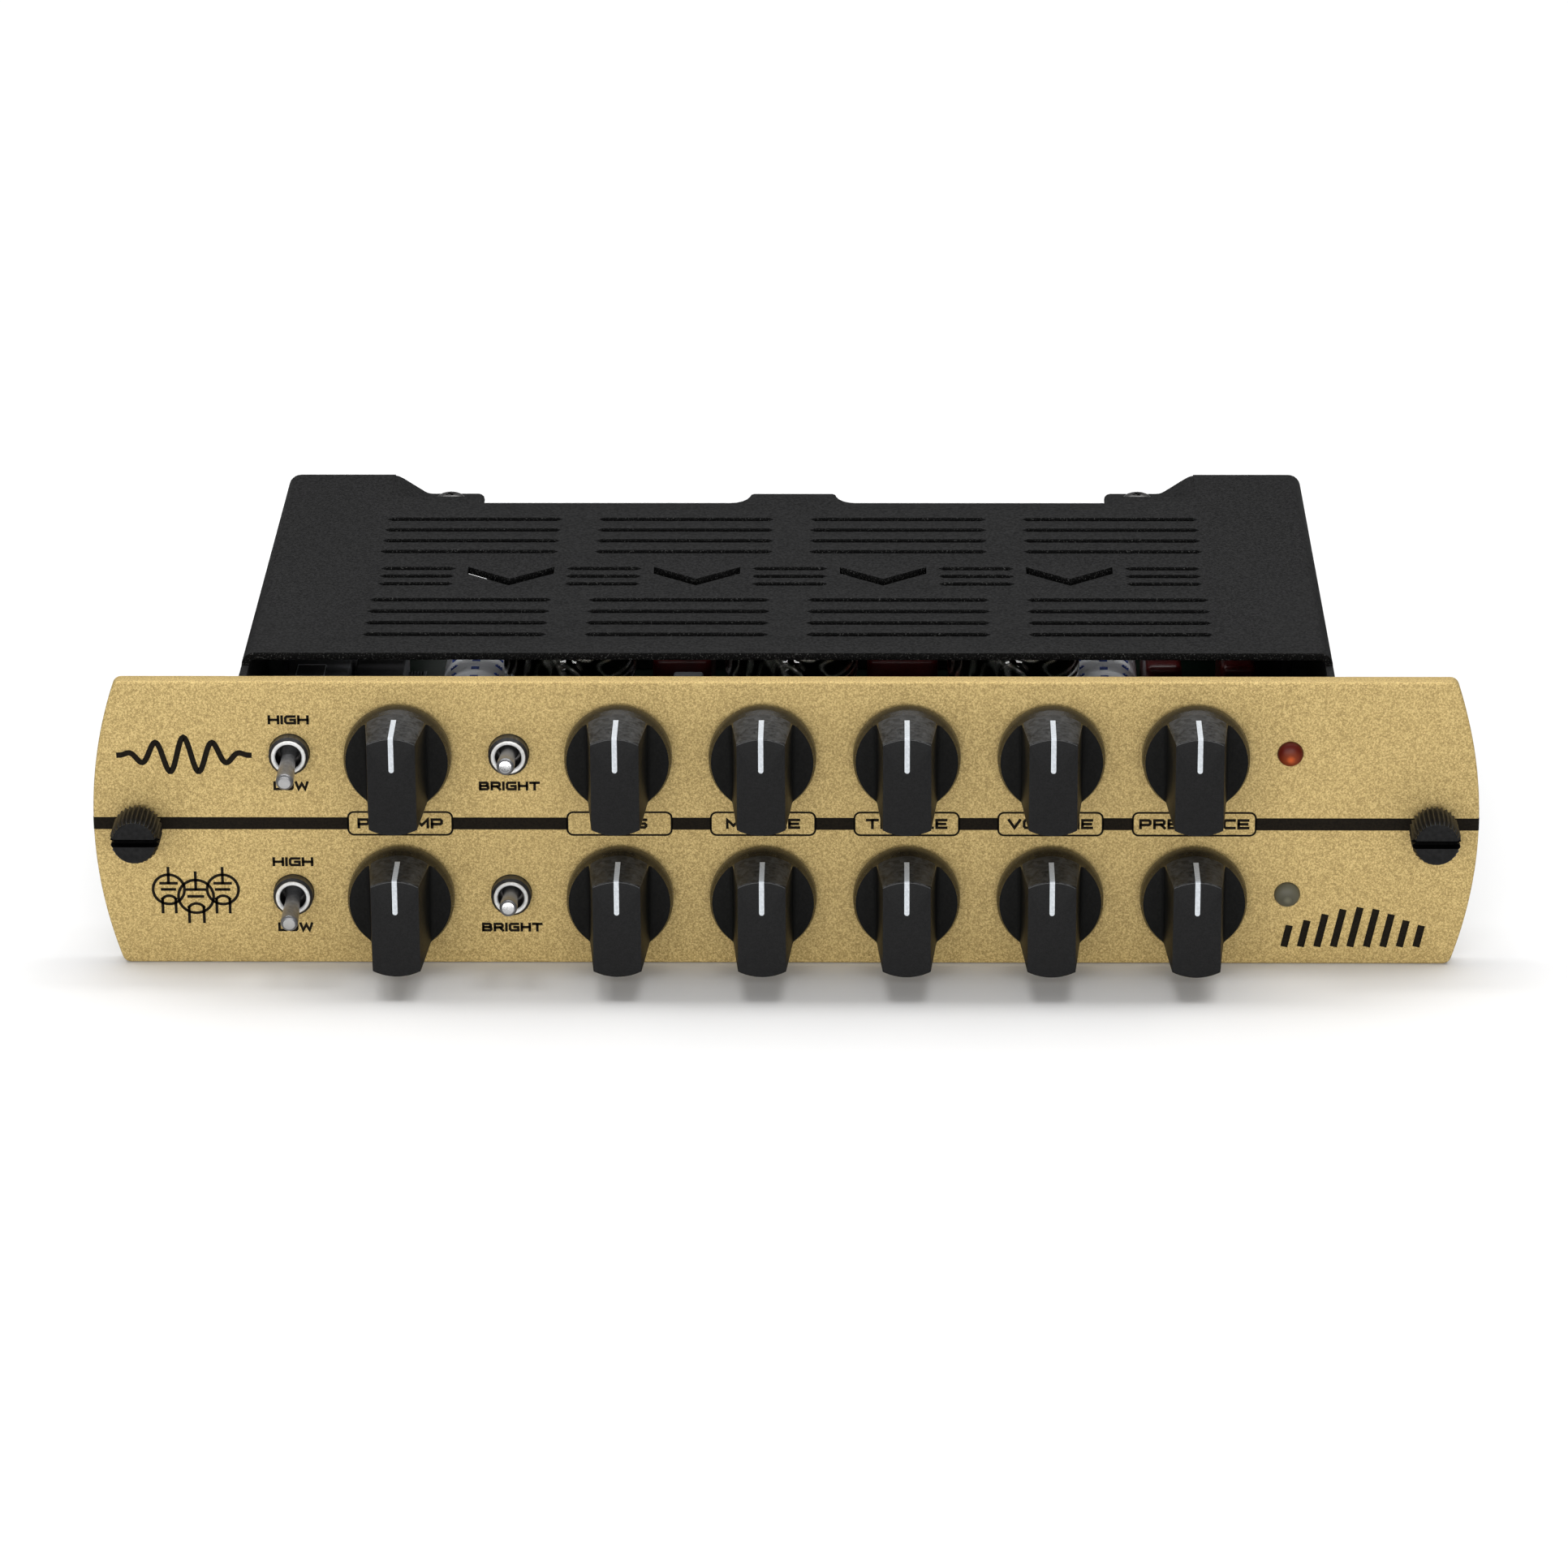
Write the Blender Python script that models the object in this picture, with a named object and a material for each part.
"""Half-rack-width plug-in tube preamp module with two channels.

Lengths are metres, +Z is up, +X is to the right seen from the front and +Y is towards the back.
The origin is at the centre of the module's box, on the surface it stands on.
Places are given from the body datum: the foot of the front panel, at the middle of its front face.
"""

import math

import bmesh
import bpy
from mathutils import Matrix, Vector

# Front panel
PANEL_WIDTH = 0.219
PANEL_HEIGHT = 0.0476
PANEL_THICK = 0.003
PANEL_SIDE_RADIUS = 0.072
PANEL_CORNER_RADIUS = 0.0014
PANEL_EDGE_ROUND = 0.0004
PANEL_RELIEF = 0.0003
PANEL_RELIEF_MARGIN = 0.0008
PANEL_MID = PANEL_HEIGHT / 2

# Controls on the panel, measured from its middle
ROW_OFFSET = 0.0119
FIRST_KNOB_X = -0.0609
TONE_KNOB_X = -0.0262
KNOB_PITCH = 0.0227
RANGE_TOGGLE_X = -0.0781
BRIGHT_TOGGLE_X = -0.0435
LED_X = 0.0795
THUMBSCREW_X = 0.1022

# Knob, with the potentiometer shaft that it is fixed to
KNOB_BASE_RADIUS = 0.0085
KNOB_FRONT_RADIUS = 0.0081
KNOB_BACK_Y = -0.0009
KNOB_FRONT_Y = -0.0152
KNOB_SKIRT = 0.0032
KNOB_BAR_FRONT_WIDTH = 0.0075
KNOB_BAR_BASE_WIDTH = 0.0094
KNOB_HOLLOW_RADIUS = 0.0062
KNOB_HOLLOW_DEPTH = 0.0022
SHAFT_RADIUS = 0.0025
SHAFT_SHORTER = 0.0030
KNOB_RIM = 0.0004

# Potentiometer
POT_HOLE_RADIUS = 0.0040
POT_BUSHING_RADIUS = 0.0034
POT_BORE_RADIUS = 0.0029
POT_BUSHING_FRONT_Y = -0.0022
POT_NUT_RADIUS = 0.0052
POT_CASE_WIDTH = 0.0098
POT_CASE_HEIGHT = 0.0112
POT_CASE_FRONT_Y = 0.0048
POT_CASE_BACK_Y = 0.0115
POT_BACK_WALL = 0.0020

# Toggle switch
TOGGLE_HOLE_RADIUS = 0.0037
TOGGLE_BUSHING_RADIUS = 0.003175
TOGGLE_BORE_RADIUS = 0.0025
TOGGLE_FRONT_Y = -0.0021
TOGGLE_PIVOT_Y = 0.0012
TOGGLE_LEVER_LENGTH = 0.0108
TOGGLE_TIP_RADIUS = 0.00138
TOGGLE_NECK_RADIUS = 0.00092
TOGGLE_BALL_RADIUS = 0.0016
TOGGLE_TILT = math.radians(7.0)
TOGGLE_CASE_WIDTH = 0.0079
TOGGLE_CASE_HEIGHT = 0.0130
TOGGLE_CASE_BACK_Y = 0.0121
TOGGLE_BUSHING_BACK_Y = 0.0060
TOGGLE_CHAMFER = 0.0005
LEVER_TAIL = 0.0032
LEVER_TAIL_RADIUS = 0.0006

# Lamp
LED_HOLE_RADIUS = 0.0024
LED_LENS_RADIUS = 0.0020
LED_BODY_RADIUS = 0.0027
LED_DOME_Y = -0.0014
LED_DOME_DEPTH = 0.0012
LED_RIM_Y = 0.0036
LED_BACK_Y = 0.0120

# Captive thumbscrew and its ring
SCREW_HEAD_RADIUS = 0.0039
SCREW_HEAD_FRONT_Y = -0.0089
SCREW_HEAD_BACK_Y = -0.0015
SCREW_SHOULDER_RADIUS = 0.0026
SCREW_SHANK_RADIUS = 0.0019
SCREW_HOLE_RADIUS = 0.0024
SCREW_GROOVE_RADIUS = 0.0015
SCREW_GROOVE_Y = 0.0079
SCREW_GROOVE_WIDTH = 0.0014
SCREW_END_Y = 0.0165
SCREW_END_CHAMFER = 0.0005
SCREW_SLOT_WIDTH = 0.0012
SCREW_SLOT_DEPTH = 0.0012
RING_RADIUS = 0.0036
RING_CLEARANCE = 0.0004
SCREW_RIM = 0.0003

# Sheet-metal cover and tray
SHEET = 0.0012
GAP = 0.0003
COVER_WIDTH = 0.1746
COVER_TOP_Z = 0.0451
COVER_BEND_RADIUS = 0.0022
COVER_BOTTOM_Z = 0.0005
COVER_FRONT_Y = 0.0205
COVER_SIDE_TOP_Z = 0.0429
COVER_MID_REAR_Y = 0.0959
COVER_TAB_REAR_Y = 0.1008
COVER_TAB_HALF = 0.0072
COVER_TAB_FILLET_X = 0.0034
COVER_TAB_CORNER = 0.0005
COVER_FLANGE_CORNER = 0.0010
COVER_SCREW_EDGE_Y = 0.0994
COVER_REAR_Y = 0.1113
WING_INNER_X = 0.0684
WING_ROUND = 0.0040
FLANGE_OUTER_X = 0.0632
FLANGE_INNER_X = 0.0535
FLANGE_DROP = 0.0034
FLANGE_FOOT_ROUND = 0.0026
FLANGE_OVERLAP = 0.0006
FLANGE_LEAN = 0.0005
FLANGE_STEP = 0.0002
WING_CUT_STEP = 0.0004
REAR_CUT_SPAN = (COVER_TOP_Z - 0.0060, COVER_TOP_Z + 0.0010)
COVER_SCREW_X = 0.0590
COVER_SCREW_Y = 0.1055
COVER_SCREW_HOLE_RADIUS = 0.0018
PAN_HEAD_RADIUS = 0.0027
PAN_HEAD_HEIGHT = 0.0016
PAN_SHANK_RADIUS = 0.0014
PAN_SHANK_LENGTH = 0.0075
PAN_RECESS_ARM = 0.0015
PAN_RECESS_HALF = 0.00028
PAN_RECESS_FLOOR = 0.0007
CHASSIS_FRONT_Y = PANEL_THICK + GAP
TRAY_REAR_Y = 0.1103
TRAY_WALL_TOP_Z = 0.0402
TRAY_SIDE_TOP_Z = 0.0140
TRAY_REAR_TOP_Z = 0.0310
TRAY_REAR_TOP_HALF = 0.0500
TRAY_FRONT_RETURN = 0.0040
TRAY_REAR_RETURN = 0.0120
TRAY_LIP_FRONT_Y = 0.1005
TRAY_OPEN_Z = 0.0600
LIP_STEP = 0.00002
CONNECTOR_WINDOW_GAP = 0.0006
CABLE_HOLE_X = -0.0590
CABLE_HOLE_WIDTH = 0.0140
CABLE_HOLE_HEIGHT = 0.0130
CABLE_HOLE_Z = 0.0235

# Openings in the cover
SLOT_LENGTH = 0.0298
SLOT_WIDTH = 0.0018
SLOT_COLUMN_PITCH = 0.0358
SLOT_ROW_PITCH = 0.0056
SLOT_COLUMNS = 4
SLOT_ROWS = 4
FRONT_SLOTS_Y = 0.0293
REAR_SLOTS_Y = 0.0704
BAND_Y = 0.0579
BAND_DEPTH = 0.0094
BAND_GAP = 0.0020
STACK_LENGTH = 0.0125
STACK_ROWS = 3
STACK_SLOT_WIDTH = 0.0017
CHEVRON_LENGTH = 0.0143
CHEVRON_STROKE = 0.0034
CHEVRONS = 4

# Circuit boards
BOARD_THICK = 0.0016
MAIN_BOARD_Z = 0.0130
MAIN_BOARD_HALF = 0.0828
MAIN_BOARD_FRONT_Y = 0.0165
MAIN_BOARD_REAR_Y = 0.1020
BOARD_TOP_Z = MAIN_BOARD_Z + BOARD_THICK
CONTROL_BOARD_Y = 0.0124
CONTROL_BOARD_TOP_Z = 0.0424
CONTROL_BOARD_BOTTOM_Z = 0.0045
STANDOFF_RADIUS = 0.0030
STANDOFF_X = 0.0760
STANDOFF_YS = (0.0240, 0.0940)

# Tubes, lying along Y with their tips to the front
TUBE_PITCH = 0.0366
TUBE_CENTRE_X = 0.0003
TUBE_AXIS_Z = 0.0318
TUBE_RADIUS = 0.0109
TUBE_TIP_Y = 0.0430
TUBE_BASE_Y = 0.0880
TUBE_PIP_RADIUS = 0.0022
SOCKET_RADIUS = 0.0095
SOCKET_DEPTH = 0.0075

# Rear connector
CONNECTOR_HALF = 0.0300
CONNECTOR_FRONT_Y = 0.0965
CONNECTOR_REAR_Y = COVER_REAR_Y
CONNECTOR_HEIGHT = 0.0110
CONNECTOR_WALL = 0.0015
CONNECTOR_MOUTH_DEPTH = 0.0080

# Components on the main board
AXIAL_CAP_XS = (-0.0527, 0.0522)
AXIAL_CAP_RADIUS = 0.0060
AXIAL_CAP_LENGTH = 0.0330
AXIAL_CAP_FRONT_Y = 0.0520
RELAY_TOP_Z = 0.0336
RELAYS = (("relay_1", -0.0771, 0.0104, 0.0340, 0.0280), ("relay_2", -0.0671, 0.0080, 0.0340, 0.0240))
FILM_CAPS = (
    ("film_capacitor_1", -0.0180, 0.0098, 0.0600, 0.0260),
    ("film_capacitor_2", 0.0186, 0.0118, 0.0600, 0.0260),
    ("film_capacitor_3", 0.0619, 0.0060, 0.0560, 0.0260),
    ("film_capacitor_4", 0.0743, 0.0059, 0.0560, 0.0200),
)
FILM_CAP_TOP_Z = 0.0300

# How far a cutting tool reaches past what it cuts
PAST = 0.001

# Sides of round pieces
KNOB_ROUND = 24
ROUND = 20
SMALL_ROUND = 14
HIDDEN_ROUND = 10
TOP_SIDE = 1
BOTTOM_SIDE = -1

# The module is as deep as from the knobs' fronts to the cover's wings, and the origin is midway.
DATUM_Y = -(COVER_REAR_Y + KNOB_FRONT_Y) / 2


def clear_scene():
    for obj in list(bpy.data.objects):
        bpy.data.objects.remove(obj, do_unlink=True)


def material(name, colour, roughness, metallic=0.0):
    """A plain Principled material in the part's colour."""
    made = bpy.data.materials.new(name)
    made.use_nodes = True
    shader = made.node_tree.nodes["Principled BSDF"]
    shader.inputs["Base Color"].default_value = (*colour, 1.0)
    shader.inputs["Roughness"].default_value = roughness
    shader.inputs["Metallic"].default_value = metallic
    made.diffuse_color = (*colour, 1.0)
    return made


# ---------------------------------------------------------------- shapes


def mesh_from(work, name):
    """The bmesh as a closed mesh with its faces pointing out and its round stretches smooth."""
    bmesh.ops.recalc_face_normals(work, faces=work.faces)
    mesh = bpy.data.meshes.new(name)
    work.to_mesh(mesh)
    work.free()
    mesh.shade_smooth()
    mesh.set_sharp_from_angle(angle=math.radians(32))
    return mesh


def add_box(work, low, high):
    """A box between two corners."""
    size = Vector(high) - Vector(low)
    middle = (Vector(high) + Vector(low)) / 2
    bmesh.ops.create_cube(work, size=1.0, matrix=Matrix.Translation(middle) @ Matrix.Diagonal((*size, 1.0)))


def add_prism(work, outline, axis, start, end):
    """An outline carried along an axis: (x, z) points along "y", and (x, y) points along "z"."""
    if axis == "y":
        first = [work.verts.new((x, start, z)) for x, z in outline]
        last = [work.verts.new((x, end, z)) for x, z in outline]
    else:
        first = [work.verts.new((x, y, start)) for x, y in outline]
        last = [work.verts.new((x, y, end)) for x, y in outline]
    work.faces.new(first)
    work.faces.new(last[::-1])
    count = len(outline)
    for i in range(count):
        j = (i + 1) % count
        work.faces.new((first[j], first[i], last[i], last[j]))


def add_turned(work, profile, segments, axis="y", centre=(0.0, 0.0, 0.0)):
    """A profile of (place along the axis, radius) points turned round it. It starts and ends on the axis."""
    rings = []
    for along, radius in profile:
        ring = []
        for k in range(segments if radius > 0 else 1):
            turn = 2 * math.pi * k / segments
            across, up = radius * math.cos(turn), radius * math.sin(turn)
            point = (across, along, up) if axis == "y" else (across, up, along)
            ring.append(work.verts.new(Vector(centre) + Vector(point)))
        rings.append(ring)
    for one, two in zip(rings, rings[1:]):
        for k in range(segments):
            j = (k + 1) % segments
            corners = [one[k % len(one)], one[j % len(one)], two[j % len(two)], two[k % len(two)]]
            distinct = list(dict.fromkeys(corners))
            work.faces.new(distinct)


def arc(centre, radius, start, end, steps):
    """Points on an arc, from one angle to another in degrees, both ends included."""
    points = []
    for k in range(steps + 1):
        turn = math.radians(start + (end - start) * k / steps)
        points.append((centre[0] + radius * math.cos(turn), centre[1] + radius * math.sin(turn)))
    return points


def stadium(centre, length, width, along_x, steps=2):
    """A slot's outline with round ends."""
    reach = (length - width) / 2
    right = arc((reach, 0.0), width / 2, -90, 90, steps)
    left = arc((-reach, 0.0), width / 2, 90, 270, steps)
    points = right + left
    if not along_x:
        points = [(-y, x) for x, y in points]
    return [(centre[0] + x, centre[1] + y) for x, y in points]


def boxes(name, *corner_pairs):
    """A mesh of separate boxes."""
    work = bmesh.new()
    for low, high in corner_pairs:
        add_box(work, low, high)
    return mesh_from(work, name)


def turned(name, profile, segments=ROUND, axis="y", centre=(0.0, 0.0, 0.0)):
    """A mesh turned from one profile."""
    work = bmesh.new()
    add_turned(work, profile, segments, axis, centre)
    return mesh_from(work, name)


def rods(name, places, radius, start, end, segments=SMALL_ROUND, axis="y"):
    """A mesh of separate cylinders along one axis, at (x, z) places for "y" or (x, y) places for "z"."""
    work = bmesh.new()
    profile = ((start, 0.0), (start, radius), (end, radius), (end, 0.0))
    for across, other in places:
        centre = (across, 0.0, other) if axis == "y" else (across, other, 0.0)
        add_turned(work, profile, segments, axis, centre)
    return mesh_from(work, name)


def combined(name, base, *steps):
    """The base mesh after each ("UNION" or "DIFFERENCE", mesh) step, as one new mesh."""
    body = bpy.data.objects.new(name + "_work", base)
    bpy.context.scene.collection.objects.link(body)
    tools = []
    for operation, tool_mesh in steps:
        tool = bpy.data.objects.new(name + "_tool", tool_mesh)
        bpy.context.scene.collection.objects.link(tool)
        tools.append(tool)
        step = body.modifiers.new(operation.lower(), "BOOLEAN")
        step.operation = operation
        step.object = tool
    graph = bpy.context.evaluated_depsgraph_get()
    result = bpy.data.meshes.new_from_object(body.evaluated_get(graph))
    result.name = name
    for obj in (body, *tools):
        bpy.data.objects.remove(obj, do_unlink=True)
    result.materials.clear()
    result.shade_smooth()
    result.set_sharp_from_angle(angle=math.radians(32))
    return result


def place(name, mesh, finish, location=(0.0, 0.0, 0.0), rotation=(0.0, 0.0, 0.0)):
    """One named piece of the module, standing on the body datum."""
    obj = bpy.data.objects.new(name, mesh)
    bpy.context.scene.collection.objects.link(obj)
    obj.parent = datum
    obj.location = location
    obj.rotation_euler = rotation
    if not mesh.materials:
        mesh.materials.append(finish)
    return obj


# ---------------------------------------------------------------- places of the controls


def row_z(row):
    """Height of a control row: TOP_SIDE or BOTTOM_SIDE."""
    return PANEL_MID + row * ROW_OFFSET


KNOB_XS = [FIRST_KNOB_X] + [TONE_KNOB_X + KNOB_PITCH * k for k in range(5)]
KNOB_NAMES = ("preamp", "bass", "middle", "treble", "volume", "presence")
ROWS = ((TOP_SIDE, "upper"), (BOTTOM_SIDE, "lower"))
KNOB_PLACES = [(x, row_z(row)) for row, _ in ROWS for x in KNOB_XS]
TOGGLE_PLACES = [(x, row_z(row)) for row, _ in ROWS for x in (RANGE_TOGGLE_X, BRIGHT_TOGGLE_X)]
LED_PLACES = [(LED_X, row_z(row)) for row, _ in ROWS]
SIDES = ((-1, "left"), (1, "right"))
THUMBSCREW_PLACES = [(side * THUMBSCREW_X, PANEL_MID) for side, _ in SIDES]
TUBE_XS = [TUBE_CENTRE_X + TUBE_PITCH * k for k in (-1, 0, 1)]


# ---------------------------------------------------------------- panel, tray and cover


def panel_outline():
    """The panel's front view: flat top and bottom, sides bowed outwards, corners slightly rounded."""
    half_width = PANEL_WIDTH / 2
    half_height = PANEL_HEIGHT / 2
    side_centre = half_width - PANEL_SIDE_RADIUS
    # The corner arc touches the side arc from inside, and the flat top edge.
    corner_z = half_height - PANEL_CORNER_RADIUS
    corner_x = side_centre + math.sqrt((PANEL_SIDE_RADIUS - PANEL_CORNER_RADIUS) ** 2 - corner_z**2)
    lean = math.degrees(math.atan2(corner_z, corner_x - side_centre))
    right = arc((corner_x, -corner_z), PANEL_CORNER_RADIUS, -90, -lean, 3)
    right += arc((side_centre, 0.0), PANEL_SIDE_RADIUS, -lean, lean, 12)[1:-1]
    right += arc((corner_x, corner_z), PANEL_CORNER_RADIUS, lean, 90, 3)
    outline = right + [(-x, -z) for x, z in right]
    return [(x, z + PANEL_MID) for x, z in outline]


def make_panel():
    """The painted front panel. Its rear is relieved by a shallow step where the chassis stands."""
    work = bmesh.new()
    add_prism(work, panel_outline(), "y", 0.0, PANEL_THICK)
    front_edges = [edge for edge in work.edges if all(abs(vert.co.y) < 1e-6 for vert in edge.verts)]
    bmesh.ops.bevel(work, geom=front_edges, offset=PANEL_EDGE_ROUND, segments=2, profile=0.5, affect="EDGES")
    plate = mesh_from(work, "panel_plate")
    through = (-PAST, PANEL_THICK + PAST)
    relief_half = COVER_WIDTH / 2 + PANEL_RELIEF_MARGIN
    relief_low = (-relief_half, PANEL_THICK - PANEL_RELIEF, -PAST)
    relief_high = (relief_half, PANEL_THICK + PAST, PANEL_HEIGHT + PAST)
    relief = boxes("panel_relief", (relief_low, relief_high))
    return combined(
        "front_panel",
        plate,
        ("DIFFERENCE", relief),
        ("DIFFERENCE", rods("pot_holes", KNOB_PLACES, POT_HOLE_RADIUS, *through, HIDDEN_ROUND)),
        ("DIFFERENCE", rods("toggle_holes", TOGGLE_PLACES, TOGGLE_HOLE_RADIUS, *through)),
        ("DIFFERENCE", rods("led_holes", LED_PLACES, LED_HOLE_RADIUS, *through)),
        ("DIFFERENCE", rods("screw_holes", THUMBSCREW_PLACES, SCREW_HOLE_RADIUS, *through)),
    )


def tray_rear_cuts():
    """The low middle of the tray's rear wall, the connector's window and a round-ended cable hole."""
    inside = TRAY_REAR_Y - SHEET - PAST
    outside = TRAY_REAR_Y + PAST
    window_half = CONNECTOR_HALF + CONNECTOR_WINDOW_GAP
    window_low = BOARD_TOP_Z + GAP - CONNECTOR_WINDOW_GAP
    window_high = BOARD_TOP_Z + GAP + CONNECTOR_HEIGHT + CONNECTOR_WINDOW_GAP
    square = boxes(
        "rear_square_cuts",
        ((-TRAY_REAR_TOP_HALF, inside, TRAY_REAR_TOP_Z), (TRAY_REAR_TOP_HALF, outside, TRAY_OPEN_Z)),
        ((-window_half, inside, window_low), (window_half, outside, window_high)),
    )
    hole = bmesh.new()
    outline = stadium((CABLE_HOLE_X, CABLE_HOLE_Z), CABLE_HOLE_WIDTH, CABLE_HOLE_HEIGHT, True, 4)
    add_prism(hole, outline, "y", inside, outside)
    return (("DIFFERENCE", square), ("DIFFERENCE", mesh_from(hole, "cable_hole")))


def make_tray():
    """The folded tray: floor, low sides, a front wall behind the panel and a rear wall with openings."""
    outer = COVER_WIDTH / 2 - SHEET - GAP
    inner = outer - SHEET
    blank = boxes("tray_blank", ((-outer, CHASSIS_FRONT_Y, 0.0), (outer, TRAY_REAR_Y, TRAY_WALL_TOP_Z)))
    inside_front = CHASSIS_FRONT_Y + SHEET
    inside_rear = TRAY_REAR_Y - SHEET
    inside = boxes("tray_inside", ((-inner, inside_front, SHEET), (inner, inside_rear, TRAY_OPEN_Z)))
    side_low = (-outer - PAST, inside_front + TRAY_FRONT_RETURN, TRAY_SIDE_TOP_Z)
    side_high = (outer + PAST, inside_rear - TRAY_REAR_RETURN, TRAY_OPEN_Z)
    side_cut = boxes("tray_sides", (side_low, side_high))
    lip_bottom = TRAY_WALL_TOP_Z - SHEET
    # A lip stops just short of the wall's top, so that the two don't share a face when they are joined.
    lip_top = TRAY_WALL_TOP_Z - LIP_STEP
    lip_rear = inside_rear + SHEET / 2
    lips = boxes(
        "tray_lips",
        ((-WING_INNER_X, TRAY_LIP_FRONT_Y, lip_bottom), (-FLANGE_INNER_X, lip_rear, lip_top)),
        ((FLANGE_INNER_X, TRAY_LIP_FRONT_Y, lip_bottom), (WING_INNER_X, lip_rear, lip_top)),
    )
    standoff_places = [(side * STANDOFF_X, y) for side, _ in SIDES for y in STANDOFF_YS]
    standoff_span = (SHEET / 2, MAIN_BOARD_Z - GAP)
    standoffs = rods("standoffs", standoff_places, STANDOFF_RADIUS, *standoff_span, HIDDEN_ROUND, "z")
    front = (CHASSIS_FRONT_Y - PAST, inside_front + PAST)
    screw_places = [(side * COVER_SCREW_X, COVER_SCREW_Y) for side, _ in SIDES]
    lip_span = (lip_bottom - PAST, lip_top + PAST)
    lip_holes = rods("lip_holes", screw_places, COVER_SCREW_HOLE_RADIUS, *lip_span, HIDDEN_ROUND, "z")
    return combined(
        "chassis_tray",
        blank,
        ("DIFFERENCE", inside),
        ("DIFFERENCE", side_cut),
        *tray_rear_cuts(),
        ("UNION", lips),
        ("UNION", standoffs),
        ("DIFFERENCE", rods("tray_pot_holes", KNOB_PLACES, POT_HOLE_RADIUS, *front, HIDDEN_ROUND)),
        ("DIFFERENCE", rods("tray_toggle_holes", TOGGLE_PLACES, TOGGLE_HOLE_RADIUS, *front, HIDDEN_ROUND)),
        ("DIFFERENCE", rods("tray_led_holes", LED_PLACES, LED_BODY_RADIUS + 2 * GAP, *front, HIDDEN_ROUND)),
        ("DIFFERENCE", lip_holes),
    )


def bent_channel():
    """The cover's section in front view: a top with two long sides, joined by round bends."""
    half = COVER_WIDTH / 2
    bend = (half - COVER_BEND_RADIUS, COVER_TOP_Z - COVER_BEND_RADIUS)
    steps = 6
    outside = [(half, COVER_BOTTOM_Z)] + arc(bend, COVER_BEND_RADIUS, 0, 90, steps)
    inside = arc(bend, COVER_BEND_RADIUS - SHEET, 90, 0, steps) + [(half - SHEET, COVER_BOTTOM_Z)]
    left_outside = [(-x, z) for x, z in reversed(outside)]
    left_inside = [(-x, z) for x, z in reversed(inside)]
    return outside + left_outside + left_inside + inside


def flange_outline(side):
    """The screw flange's section: from the wing's top round a shoulder and down to a lower shelf."""
    low = COVER_TOP_Z - FLANGE_DROP
    slope = math.degrees(math.atan2(FLANGE_DROP, WING_INNER_X - FLANGE_OUTER_X))
    shoulder = (WING_INNER_X + WING_ROUND * math.tan(math.radians(slope / 2)), COVER_TOP_Z - WING_ROUND)
    foot = (FLANGE_OUTER_X - FLANGE_FOOT_ROUND * math.tan(math.radians(slope / 2)), low + FLANGE_FOOT_ROUND)
    upper = [(shoulder[0] + FLANGE_OVERLAP, COVER_TOP_Z)]
    upper += arc(shoulder, WING_ROUND, 90, 90 + slope, 3)
    upper += arc(foot, FLANGE_FOOT_ROUND, slope - 90, -90, 3)
    corner = (FLANGE_INNER_X + COVER_FLANGE_CORNER, low - COVER_FLANGE_CORNER)
    upper += arc(corner, COVER_FLANGE_CORNER, 90, 180, 3)
    lower = [(FLANGE_INNER_X, low - SHEET), (FLANGE_OUTER_X + FLANGE_LEAN, low - SHEET)]
    lower += [(WING_INNER_X + FLANGE_LEAN, COVER_TOP_Z - SHEET), (upper[0][0], COVER_TOP_Z - SHEET)]
    return [(side * x, z) for x, z in upper + lower]


def chevron(centre_x):
    """A wide V-shaped outline whose point is towards the front."""
    half = CHEVRON_LENGTH / 2
    back = BAND_Y + BAND_DEPTH / 2
    front = BAND_Y - BAND_DEPTH / 2
    return [
        (centre_x - half, back),
        (centre_x, front + CHEVRON_STROKE),
        (centre_x + half, back),
        (centre_x + half, back - CHEVRON_STROKE),
        (centre_x, front),
        (centre_x - half, back - CHEVRON_STROKE),
    ]


def cover_openings():
    """Vent slots in two groups, and between them a band of short slot stacks and chevrons by turns."""
    work = bmesh.new()
    span = (COVER_TOP_Z - SHEET - PAST, COVER_TOP_Z + PAST)
    for first_y in (FRONT_SLOTS_Y, REAR_SLOTS_Y):
        for row in range(SLOT_ROWS):
            for column in range(SLOT_COLUMNS):
                x = (column - (SLOT_COLUMNS - 1) / 2) * SLOT_COLUMN_PITCH
                centre = (x, first_y + row * SLOT_ROW_PITCH)
                add_prism(work, stadium(centre, SLOT_LENGTH, SLOT_WIDTH, True), "z", *span)
    pitch = STACK_LENGTH + CHEVRON_LENGTH + 2 * BAND_GAP
    row_pitch = (BAND_DEPTH - STACK_SLOT_WIDTH) / (STACK_ROWS - 1)
    for stack in range(CHEVRONS + 1):
        x = (stack - CHEVRONS / 2) * pitch
        for row in range(STACK_ROWS):
            centre = (x, BAND_Y + (row - (STACK_ROWS - 1) / 2) * row_pitch)
            add_prism(work, stadium(centre, STACK_LENGTH, STACK_SLOT_WIDTH, True), "z", *span)
    for gap in range(CHEVRONS):
        add_prism(work, chevron((gap - (CHEVRONS - 1) / 2) * pitch), "z", *span)
    return mesh_from(work, "cover_openings")


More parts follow.
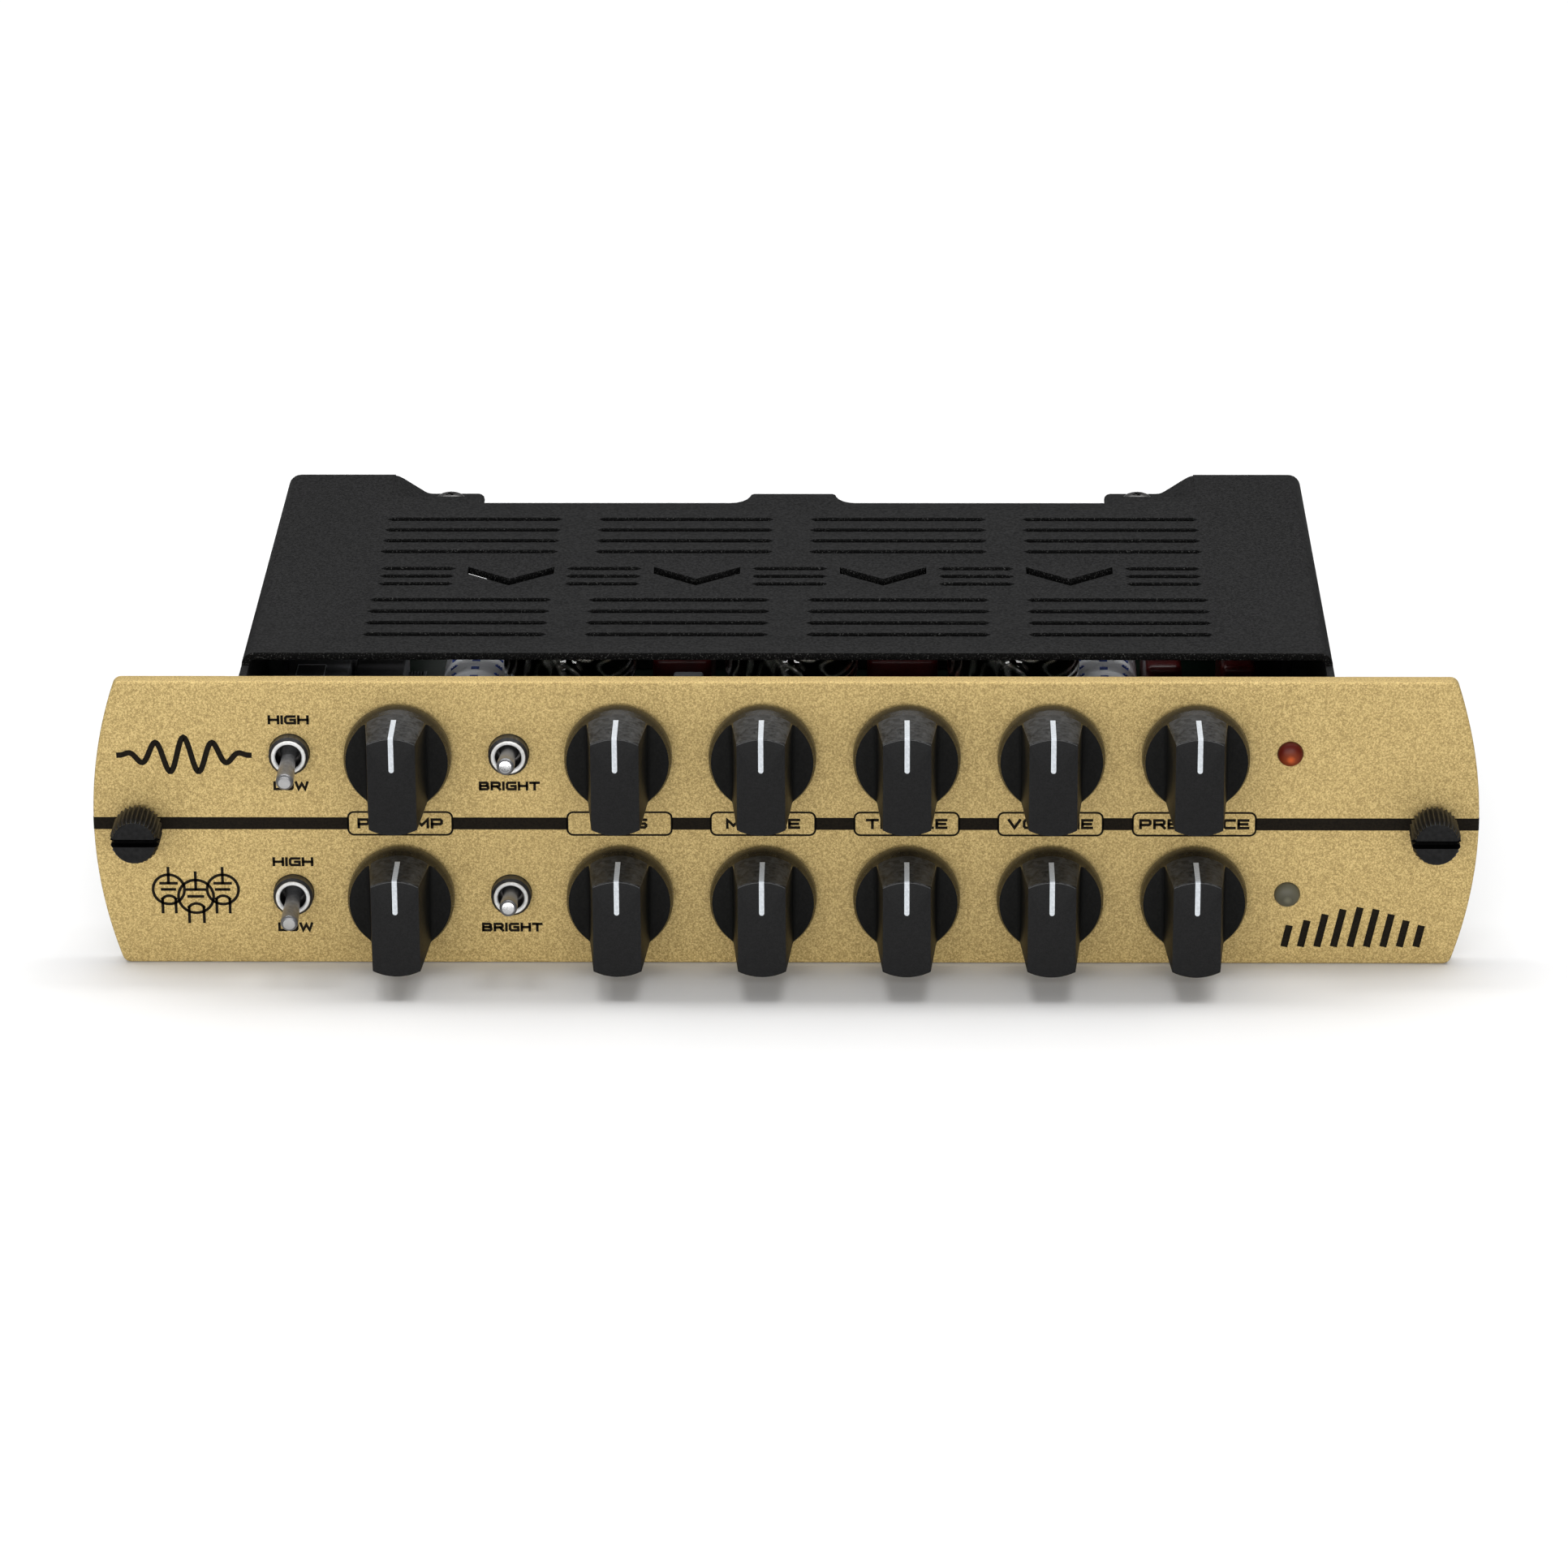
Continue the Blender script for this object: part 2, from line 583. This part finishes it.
def rear_notches():
    """The two stretches cut away behind the cover's middle, which leave a tab with filleted roots."""
    depth = COVER_TAB_REAR_Y - COVER_MID_REAR_Y
    far = COVER_REAR_Y + PAST
    work = bmesh.new()
    for side, _ in SIDES:
        root = [(COVER_TAB_HALF, COVER_TAB_REAR_Y - COVER_TAB_CORNER)]
        for turn in (math.radians(18 * k) for k in range(1, 6)):
            along = COVER_TAB_HALF + COVER_TAB_FILLET_X * (1 - math.cos(turn))
            root.append((along, COVER_TAB_REAR_Y - depth * math.sin(turn)))
        outline = [(COVER_TAB_HALF - PAST, far), (COVER_TAB_HALF - PAST, COVER_TAB_REAR_Y)]
        outline += [(COVER_TAB_HALF - COVER_TAB_CORNER, COVER_TAB_REAR_Y)] + root
        outline += [(FLANGE_INNER_X, COVER_MID_REAR_Y), (FLANGE_INNER_X, far)]
        add_prism(work, [(side * x, y) for x, y in outline], "z", *REAR_CUT_SPAN)
    return mesh_from(work, "rear_notches")


def make_cover():
    """The folded cover. Its rear edge steps back twice and drops to a screw flange at each side."""
    work = bmesh.new()
    add_prism(work, bent_channel(), "y", CHASSIS_FRONT_Y, COVER_REAR_Y)
    channel = mesh_from(work, "cover_channel")
    far = COVER_REAR_Y + PAST
    low, over = REAR_CUT_SPAN
    past_side = COVER_WIDTH / 2 + PAST
    front_cut = boxes("cover_front", ((-past_side, 0.0, COVER_SIDE_TOP_Z), (past_side, COVER_FRONT_Y, over)))
    tab_half = COVER_TAB_HALF + COVER_TAB_CORNER
    tab_cut = boxes("cover_tab", ((-tab_half, COVER_TAB_REAR_Y, low), (tab_half, far, over)))
    wing_edge = WING_INNER_X + WING_CUT_STEP
    wing_cut = boxes(
        "cover_wings",
        ((-wing_edge, COVER_SCREW_EDGE_Y, low), (-FLANGE_INNER_X + PAST, far, over)),
        ((FLANGE_INNER_X - PAST, COVER_SCREW_EDGE_Y, low), (wing_edge, far, over)),
    )
    flanges = bmesh.new()
    for side, _ in SIDES:
        add_prism(flanges, flange_outline(side), "y", COVER_SCREW_EDGE_Y + GAP, COVER_REAR_Y - FLANGE_STEP)
    screw_places = [(side * COVER_SCREW_X, COVER_SCREW_Y) for side, _ in SIDES]
    holes = rods("cover_holes", screw_places, COVER_SCREW_HOLE_RADIUS, low, over, HIDDEN_ROUND, "z")
    return combined(
        "top_cover",
        channel,
        ("DIFFERENCE", front_cut),
        ("DIFFERENCE", rear_notches()),
        ("DIFFERENCE", tab_cut),
        ("DIFFERENCE", wing_cut),
        ("UNION", mesh_from(flanges, "cover_flanges")),
        ("DIFFERENCE", holes),
        ("DIFFERENCE", cover_openings()),
    )


def cross_screw():
    """A pan-head screw with a cross recess, its seat at the origin and its shank downwards."""
    head = [(PAN_HEAD_HEIGHT, 0.0)]
    for turn in (math.radians(angle) for angle in (65, 35, 12)):
        head.append((PAN_HEAD_HEIGHT * math.sin(turn), PAN_HEAD_RADIUS * math.cos(turn) ** 0.5))
    head += [
        (0.0, PAN_HEAD_RADIUS),
        (0.0, PAN_SHANK_RADIUS),
        (PAN_SHANK_RADIUS / 3 - PAN_SHANK_LENGTH, PAN_SHANK_RADIUS),
        (-PAN_SHANK_LENGTH, 0.0),
    ]
    arm, half = PAN_RECESS_ARM, PAN_RECESS_HALF
    top = PAN_HEAD_HEIGHT + PAST
    recess = boxes("recess", ((-arm, -half, PAN_RECESS_FLOOR), (arm, half, top)))
    recess_across = boxes("recess_across", ((-half, -arm, PAN_RECESS_FLOOR), (half, arm, top)))
    return combined(
        "cover_screw",
        turned("screw_blank", head, SMALL_ROUND, "z"),
        ("DIFFERENCE", recess),
        ("DIFFERENCE", recess_across),
    )


# ---------------------------------------------------------------- controls


def make_knob():
    """A pointer knob with a round skirt, on its shaft. Its axis is the object's Y axis."""
    shaft_end = POT_CASE_BACK_Y - SHAFT_SHORTER
    profile = (
        (KNOB_FRONT_Y, 0.0),
        (KNOB_FRONT_Y, KNOB_FRONT_RADIUS - KNOB_RIM),
        (KNOB_FRONT_Y + KNOB_RIM, KNOB_FRONT_RADIUS),
        (KNOB_BACK_Y, KNOB_BASE_RADIUS),
        (KNOB_BACK_Y, KNOB_HOLLOW_RADIUS),
        (KNOB_BACK_Y - KNOB_HOLLOW_DEPTH, KNOB_HOLLOW_RADIUS),
        (KNOB_BACK_Y - KNOB_HOLLOW_DEPTH, SHAFT_RADIUS),
        (shaft_end, SHAFT_RADIUS),
        (shaft_end, 0.0),
    )
    front = KNOB_FRONT_Y - PAST
    pocket_floor = KNOB_BACK_Y - KNOB_SKIRT
    slope = (KNOB_BAR_BASE_WIDTH - KNOB_BAR_FRONT_WIDTH) / 2 / (pocket_floor - KNOB_FRONT_Y)
    near = KNOB_BAR_FRONT_WIDTH / 2 - PAST * slope
    base = KNOB_BAR_BASE_WIDTH / 2
    far = KNOB_BASE_RADIUS + PAST
    work = bmesh.new()
    for side in (-1, 1):
        outline = [(near, front), (far, front), (far, pocket_floor), (base, pocket_floor)]
        add_prism(work, [(side * x, y) for x, y in outline], "z", -far, far)
    pockets = mesh_from(work, "pockets")
    return combined("knob", turned("knob_blank", profile, KNOB_ROUND), ("DIFFERENCE", pockets))


def make_pot():
    """A potentiometer with its bushing and nut. The bore for the shaft is blind."""
    nut_front = POT_BUSHING_FRONT_Y + GAP
    bushing_back = POT_CASE_FRONT_Y + PAST
    bushing = (
        (POT_BUSHING_FRONT_Y, 0.0),
        (POT_BUSHING_FRONT_Y, POT_BUSHING_RADIUS),
        (nut_front, POT_BUSHING_RADIUS),
        (nut_front, POT_NUT_RADIUS),
        (-GAP, POT_NUT_RADIUS),
        (-GAP, POT_BUSHING_RADIUS),
        (bushing_back, POT_BUSHING_RADIUS),
        (bushing_back, 0.0),
    )
    half_width = POT_CASE_WIDTH / 2
    half_height = POT_CASE_HEIGHT / 2
    case_low = (-half_width, POT_CASE_FRONT_Y, -half_height)
    case = boxes("pot_case", (case_low, (half_width, POT_CASE_BACK_Y, half_height)))
    bore_span = (POT_BUSHING_FRONT_Y - PAST, POT_CASE_BACK_Y - POT_BACK_WALL)
    bore = rods("pot_bore", [(0.0, 0.0)], POT_BORE_RADIUS, *bore_span, HIDDEN_ROUND)
    threaded = turned("pot_bushing", bushing, HIDDEN_ROUND)
    return combined("pot", case, ("UNION", threaded), ("DIFFERENCE", bore))


def make_toggle_body():
    """A toggle switch's case with its bushing, open at the front for the lever."""
    bushing = (
        (TOGGLE_FRONT_Y, 0.0),
        (TOGGLE_FRONT_Y, TOGGLE_BUSHING_RADIUS - TOGGLE_CHAMFER),
        (TOGGLE_FRONT_Y + TOGGLE_CHAMFER, TOGGLE_BUSHING_RADIUS),
        (TOGGLE_BUSHING_BACK_Y, TOGGLE_BUSHING_RADIUS),
        (TOGGLE_BUSHING_BACK_Y, 0.0),
    )
    half_width = TOGGLE_CASE_WIDTH / 2
    half_height = TOGGLE_CASE_HEIGHT / 2
    front = CHASSIS_FRONT_Y + SHEET + GAP
    case_high = (half_width, TOGGLE_CASE_BACK_Y, half_height)
    case = boxes("toggle_case", ((-half_width, front, -half_height), case_high))
    bore_span = (TOGGLE_FRONT_Y - PAST, TOGGLE_BUSHING_BACK_Y + GAP)
    bore = rods("toggle_bore", [(0.0, 0.0)], TOGGLE_BORE_RADIUS, *bore_span, ROUND)
    return combined("toggle", case, ("UNION", turned("toggle_bushing", bushing, ROUND)), ("DIFFERENCE", bore))


def make_toggle_lever():
    """A bat lever that swings about its ball, which is at the object's origin."""
    tip = -TOGGLE_LEVER_LENGTH
    profile = [(tip - TOGGLE_TIP_RADIUS, 0.0)]
    for x, radius in arc((tip, 0.0), TOGGLE_TIP_RADIUS, 160, 90, 3):
        profile.append((x, radius))
    profile += [(-TOGGLE_BALL_RADIUS, TOGGLE_NECK_RADIUS)]
    profile += arc((0.0, 0.0), TOGGLE_BALL_RADIUS, 130, 20, 5)
    profile += [(LEVER_TAIL, LEVER_TAIL_RADIUS), (LEVER_TAIL, 0.0)]
    return turned("toggle_lever", profile, HIDDEN_ROUND)


def make_led():
    """A lamp with a round lens, a rim and a body behind the panel."""
    profile = [(LED_DOME_Y, 0.0)]
    for k in range(1, 5):
        turn = math.radians(90 * k / 4)
        profile.append((LED_DOME_Y + LED_DOME_DEPTH * (1 - math.cos(turn)), LED_LENS_RADIUS * math.sin(turn)))
    profile += [
        (LED_RIM_Y, LED_LENS_RADIUS),
        (LED_RIM_Y, LED_BODY_RADIUS),
        (LED_BACK_Y, LED_BODY_RADIUS),
        (LED_BACK_Y, 0.0),
    ]
    return turned("led", profile, SMALL_ROUND)


def make_thumbscrew():
    """A captive screw with a slotted head, a shoulder that seats on the panel and a groove for its ring."""
    rim = SCREW_RIM
    groove_end = SCREW_GROOVE_Y + SCREW_GROOVE_WIDTH
    profile = (
        (SCREW_HEAD_FRONT_Y, 0.0),
        (SCREW_HEAD_FRONT_Y, SCREW_HEAD_RADIUS - rim),
        (SCREW_HEAD_FRONT_Y + rim, SCREW_HEAD_RADIUS),
        (SCREW_HEAD_BACK_Y - rim, SCREW_HEAD_RADIUS),
        (SCREW_HEAD_BACK_Y, SCREW_HEAD_RADIUS - rim),
        (SCREW_HEAD_BACK_Y, SCREW_SHOULDER_RADIUS),
        (-GAP, SCREW_SHOULDER_RADIUS),
        (-GAP, SCREW_SHANK_RADIUS),
        (SCREW_GROOVE_Y, SCREW_SHANK_RADIUS),
        (SCREW_GROOVE_Y, SCREW_GROOVE_RADIUS),
        (groove_end, SCREW_GROOVE_RADIUS),
        (groove_end, SCREW_SHANK_RADIUS),
        (SCREW_END_Y - SCREW_END_CHAMFER, SCREW_SHANK_RADIUS),
        (SCREW_END_Y, SCREW_SHANK_RADIUS - SCREW_END_CHAMFER),
        (SCREW_END_Y, 0.0),
    )
    half = SCREW_SLOT_WIDTH / 2
    reach = SCREW_HEAD_RADIUS + PAST
    slot_low = (-reach, SCREW_HEAD_FRONT_Y - PAST, -half)
    slot = boxes("slot", (slot_low, (reach, SCREW_HEAD_FRONT_Y + SCREW_SLOT_DEPTH, half)))
    return combined("thumbscrew", turned("thumbscrew_blank", profile, ROUND), ("DIFFERENCE", slot))


def make_ring():
    """The washer-shaped ring that keeps a thumbscrew in the panel."""
    inner = SCREW_GROOVE_RADIUS + RING_CLEARANCE
    start = SCREW_GROOVE_Y + GAP
    end = SCREW_GROOVE_Y + SCREW_GROOVE_WIDTH - GAP
    profile = ((start, 0.0), (start, RING_RADIUS), (end, RING_RADIUS), (end, 0.0))
    blank = turned("ring_blank", profile, SMALL_ROUND)
    hole = rods("ring_hole", [(0.0, 0.0)], inner, start - PAST, end + PAST, SMALL_ROUND)
    return combined("ring", blank, ("DIFFERENCE", hole))


# ---------------------------------------------------------------- inside


def make_tube():
    """A nine-pin tube's glass: a pip, a domed shoulder and a straight side, its axis along Y."""
    shoulder = TUBE_TIP_Y + 0.0085
    profile = [
        (TUBE_TIP_Y, 0.0),
        (TUBE_TIP_Y + 0.0006, TUBE_PIP_RADIUS * 0.6),
        (TUBE_TIP_Y + 0.0018, TUBE_PIP_RADIUS),
        (TUBE_TIP_Y + 0.0030, TUBE_PIP_RADIUS + 0.0006),
    ]
    dome_depth = shoulder - (TUBE_TIP_Y + 0.0030)
    for k in range(2, 7):
        turn = math.radians(90 * k / 6)
        profile.append((shoulder - dome_depth * math.cos(turn), TUBE_RADIUS * math.sin(turn)))
    profile += [
        (TUBE_BASE_Y - 0.0015, TUBE_RADIUS),
        (TUBE_BASE_Y, TUBE_RADIUS - 0.0015),
        (TUBE_BASE_Y, 0.0),
    ]
    return turned("tube", profile, KNOB_ROUND)


def make_socket():
    """A tube socket on a foot that stands on the main board."""
    front = TUBE_BASE_Y + GAP
    back = front + SOCKET_DEPTH
    profile = ((front, 0.0), (front, SOCKET_RADIUS), (back, SOCKET_RADIUS), (back, 0.0))
    ring = turned("socket_ring", profile, ROUND)
    foot_bottom = BOARD_TOP_Z + GAP - TUBE_AXIS_Z
    foot = boxes("socket_foot", ((-0.006, front + 0.0015, foot_bottom), (0.006, back - 0.0005, 0.0)))
    return combined("socket", ring, ("UNION", foot))


def make_connector():
    """The shell of the multi-way connector that mates with the rack, open to the back."""
    bottom = BOARD_TOP_Z + GAP
    top = bottom + CONNECTOR_HEIGHT
    shell_low = (-CONNECTOR_HALF, CONNECTOR_FRONT_Y, bottom)
    shell = boxes("connector_shell", (shell_low, (CONNECTOR_HALF, CONNECTOR_REAR_Y, top)))
    wall = CONNECTOR_WALL
    mouth_low = (-CONNECTOR_HALF + wall, CONNECTOR_REAR_Y - CONNECTOR_MOUTH_DEPTH, bottom + wall)
    mouth_high = (CONNECTOR_HALF - wall, CONNECTOR_REAR_Y + PAST, top - wall)
    mouth = boxes("connector_mouth", (mouth_low, mouth_high))
    return combined("rear_connector", shell, ("DIFFERENCE", mouth))


def make_boards():
    """The main board lies on the tray's standoffs, and the control board stands behind the controls."""
    main = boxes(
        "main_board",
        (
            (-MAIN_BOARD_HALF, MAIN_BOARD_FRONT_Y, MAIN_BOARD_Z),
            (MAIN_BOARD_HALF, MAIN_BOARD_REAR_Y, BOARD_TOP_Z),
        ),
    )
    control = boxes(
        "control_board",
        (
            (-MAIN_BOARD_HALF, CONTROL_BOARD_Y, CONTROL_BOARD_BOTTOM_Z),
            (MAIN_BOARD_HALF, CONTROL_BOARD_Y + BOARD_THICK, CONTROL_BOARD_TOP_Z),
        ),
    )
    place("main_board", main, green_board)
    place("control_board", control, green_board)


def make_axial_capacitor():
    """A round capacitor body lying along Y, its centre at the object's origin."""
    half = AXIAL_CAP_LENGTH / 2
    rim = 0.0008
    profile = (
        (-half, 0.0),
        (-half, AXIAL_CAP_RADIUS - rim),
        (-half + rim, AXIAL_CAP_RADIUS),
        (half - rim, AXIAL_CAP_RADIUS),
        (half, AXIAL_CAP_RADIUS - rim),
        (half, 0.0),
    )
    return turned("axial_capacitor", profile, ROUND)


def make_block(name, x, width, front_y, length, top_z, finish):
    """A boxed component standing on the main board, with its upright edges rounded."""
    work = bmesh.new()
    low = (x - width / 2, front_y, BOARD_TOP_Z + GAP)
    add_box(work, low, (x + width / 2, front_y + length, top_z))
    upright = [edge for edge in work.edges if abs(edge.verts[0].co.z - edge.verts[1].co.z) > 0.001]
    bmesh.ops.bevel(work, geom=upright, offset=0.0006, segments=2, profile=0.5, affect="EDGES")
    place(name, mesh_from(work, name), finish)


# ---------------------------------------------------------------- the module

clear_scene()
datum = bpy.data.objects.new("body_datum", None)
bpy.context.scene.collection.objects.link(datum)
datum.location = (0.0, DATUM_Y, 0.0)

gold_paint = material("gold_paint", (0.52, 0.38, 0.17), 0.42, 0.55)
black_powder_coat = material("black_powder_coat", (0.022, 0.022, 0.023), 0.75)
tray_steel = material("tray_steel", (0.030, 0.030, 0.032), 0.70)
black_plastic = material("black_plastic", (0.008, 0.008, 0.008), 0.25)
pot_metal = material("pot_metal", (0.55, 0.55, 0.53), 0.35, 1.0)
bright_metal = material("bright_metal", (0.78, 0.78, 0.77), 0.16, 1.0)
red_lens = material("red_lens", (0.45, 0.05, 0.02), 0.20)
grey_lens = material("grey_lens", (0.22, 0.23, 0.19), 0.30)
black_screw = material("black_screw", (0.012, 0.012, 0.012), 0.40)
green_board = material("green_board", (0.012, 0.07, 0.035), 0.45)
tube_glass = material("tube_glass", (0.25, 0.25, 0.24), 0.05)
socket_plastic = material("socket_plastic", (0.60, 0.57, 0.50), 0.50)
connector_plastic = material("connector_plastic", (0.015, 0.015, 0.015), 0.45)
white_sleeve = material("white_sleeve", (0.70, 0.71, 0.74), 0.45)
red_film = material("red_film", (0.20, 0.015, 0.015), 0.35)
relay_grey = material("relay_grey", (0.035, 0.037, 0.042), 0.45)

place("front_panel", make_panel(), gold_paint)
place("chassis_tray", make_tray(), tray_steel)
place("top_cover", make_cover(), black_powder_coat)
make_boards()

knob_mesh = make_knob()
pot_mesh = make_pot()
for row, row_name in ROWS:
    for x, control in zip(KNOB_XS, KNOB_NAMES):
        place(f"knob_{row_name}_{control}", knob_mesh, black_plastic, (x, 0.0, row_z(row)))
        place(f"pot_{row_name}_{control}", pot_mesh, pot_metal, (x, 0.0, row_z(row)))

toggle_body_mesh = make_toggle_body()
lever_mesh = make_toggle_lever()
for row, row_name in ROWS:
    for x, control, tilt in (
        (RANGE_TOGGLE_X, "range", TOGGLE_TILT),
        (BRIGHT_TOGGLE_X, "bright", -TOGGLE_TILT),
    ):
        place(f"toggle_{row_name}_{control}", toggle_body_mesh, pot_metal, (x, 0.0, row_z(row)))
        pivot = (x, TOGGLE_PIVOT_Y, row_z(row))
        place(f"lever_{row_name}_{control}", lever_mesh, bright_metal, pivot, (tilt, 0.0, 0.0))

place("led_upper", make_led(), red_lens, (LED_X, 0.0, row_z(TOP_SIDE)))
place("led_lower", make_led(), grey_lens, (LED_X, 0.0, row_z(BOTTOM_SIDE)))

thumbscrew_mesh = make_thumbscrew()
ring_mesh = make_ring()
screw_mesh = cross_screw()
flange_top = COVER_TOP_Z - FLANGE_DROP
for side, side_name in SIDES:
    thumbscrew_place = (side * THUMBSCREW_X, 0.0, PANEL_MID)
    place(f"thumbscrew_{side_name}", thumbscrew_mesh, black_screw, thumbscrew_place)
    place(f"retaining_ring_{side_name}", ring_mesh, bright_metal, thumbscrew_place)
    screw_place = (side * COVER_SCREW_X, COVER_SCREW_Y, flange_top + GAP)
    place(f"cover_screw_{side_name}", screw_mesh, bright_metal, screw_place)

tube_mesh = make_tube()
socket_mesh = make_socket()
for number, x in enumerate(TUBE_XS, 1):
    place(f"tube_{number}", tube_mesh, tube_glass, (x, 0.0, TUBE_AXIS_Z))
    place(f"tube_socket_{number}", socket_mesh, socket_plastic, (x, 0.0, TUBE_AXIS_Z))

place("rear_connector", make_connector(), connector_plastic)

axial_mesh = make_axial_capacitor()
for number, x in enumerate(AXIAL_CAP_XS, 1):
    middle_y = AXIAL_CAP_FRONT_Y + AXIAL_CAP_LENGTH / 2
    height = BOARD_TOP_Z + GAP + AXIAL_CAP_RADIUS
    place(f"axial_capacitor_{number}", axial_mesh, white_sleeve, (x, middle_y, height))

for name, x, width, front_y, length in FILM_CAPS:
    make_block(name, x, width, front_y, length, FILM_CAP_TOP_Z, red_film)
for name, x, width, front_y, length in RELAYS:
    make_block(name, x, width, front_y, length, RELAY_TOP_Z, relay_grey)
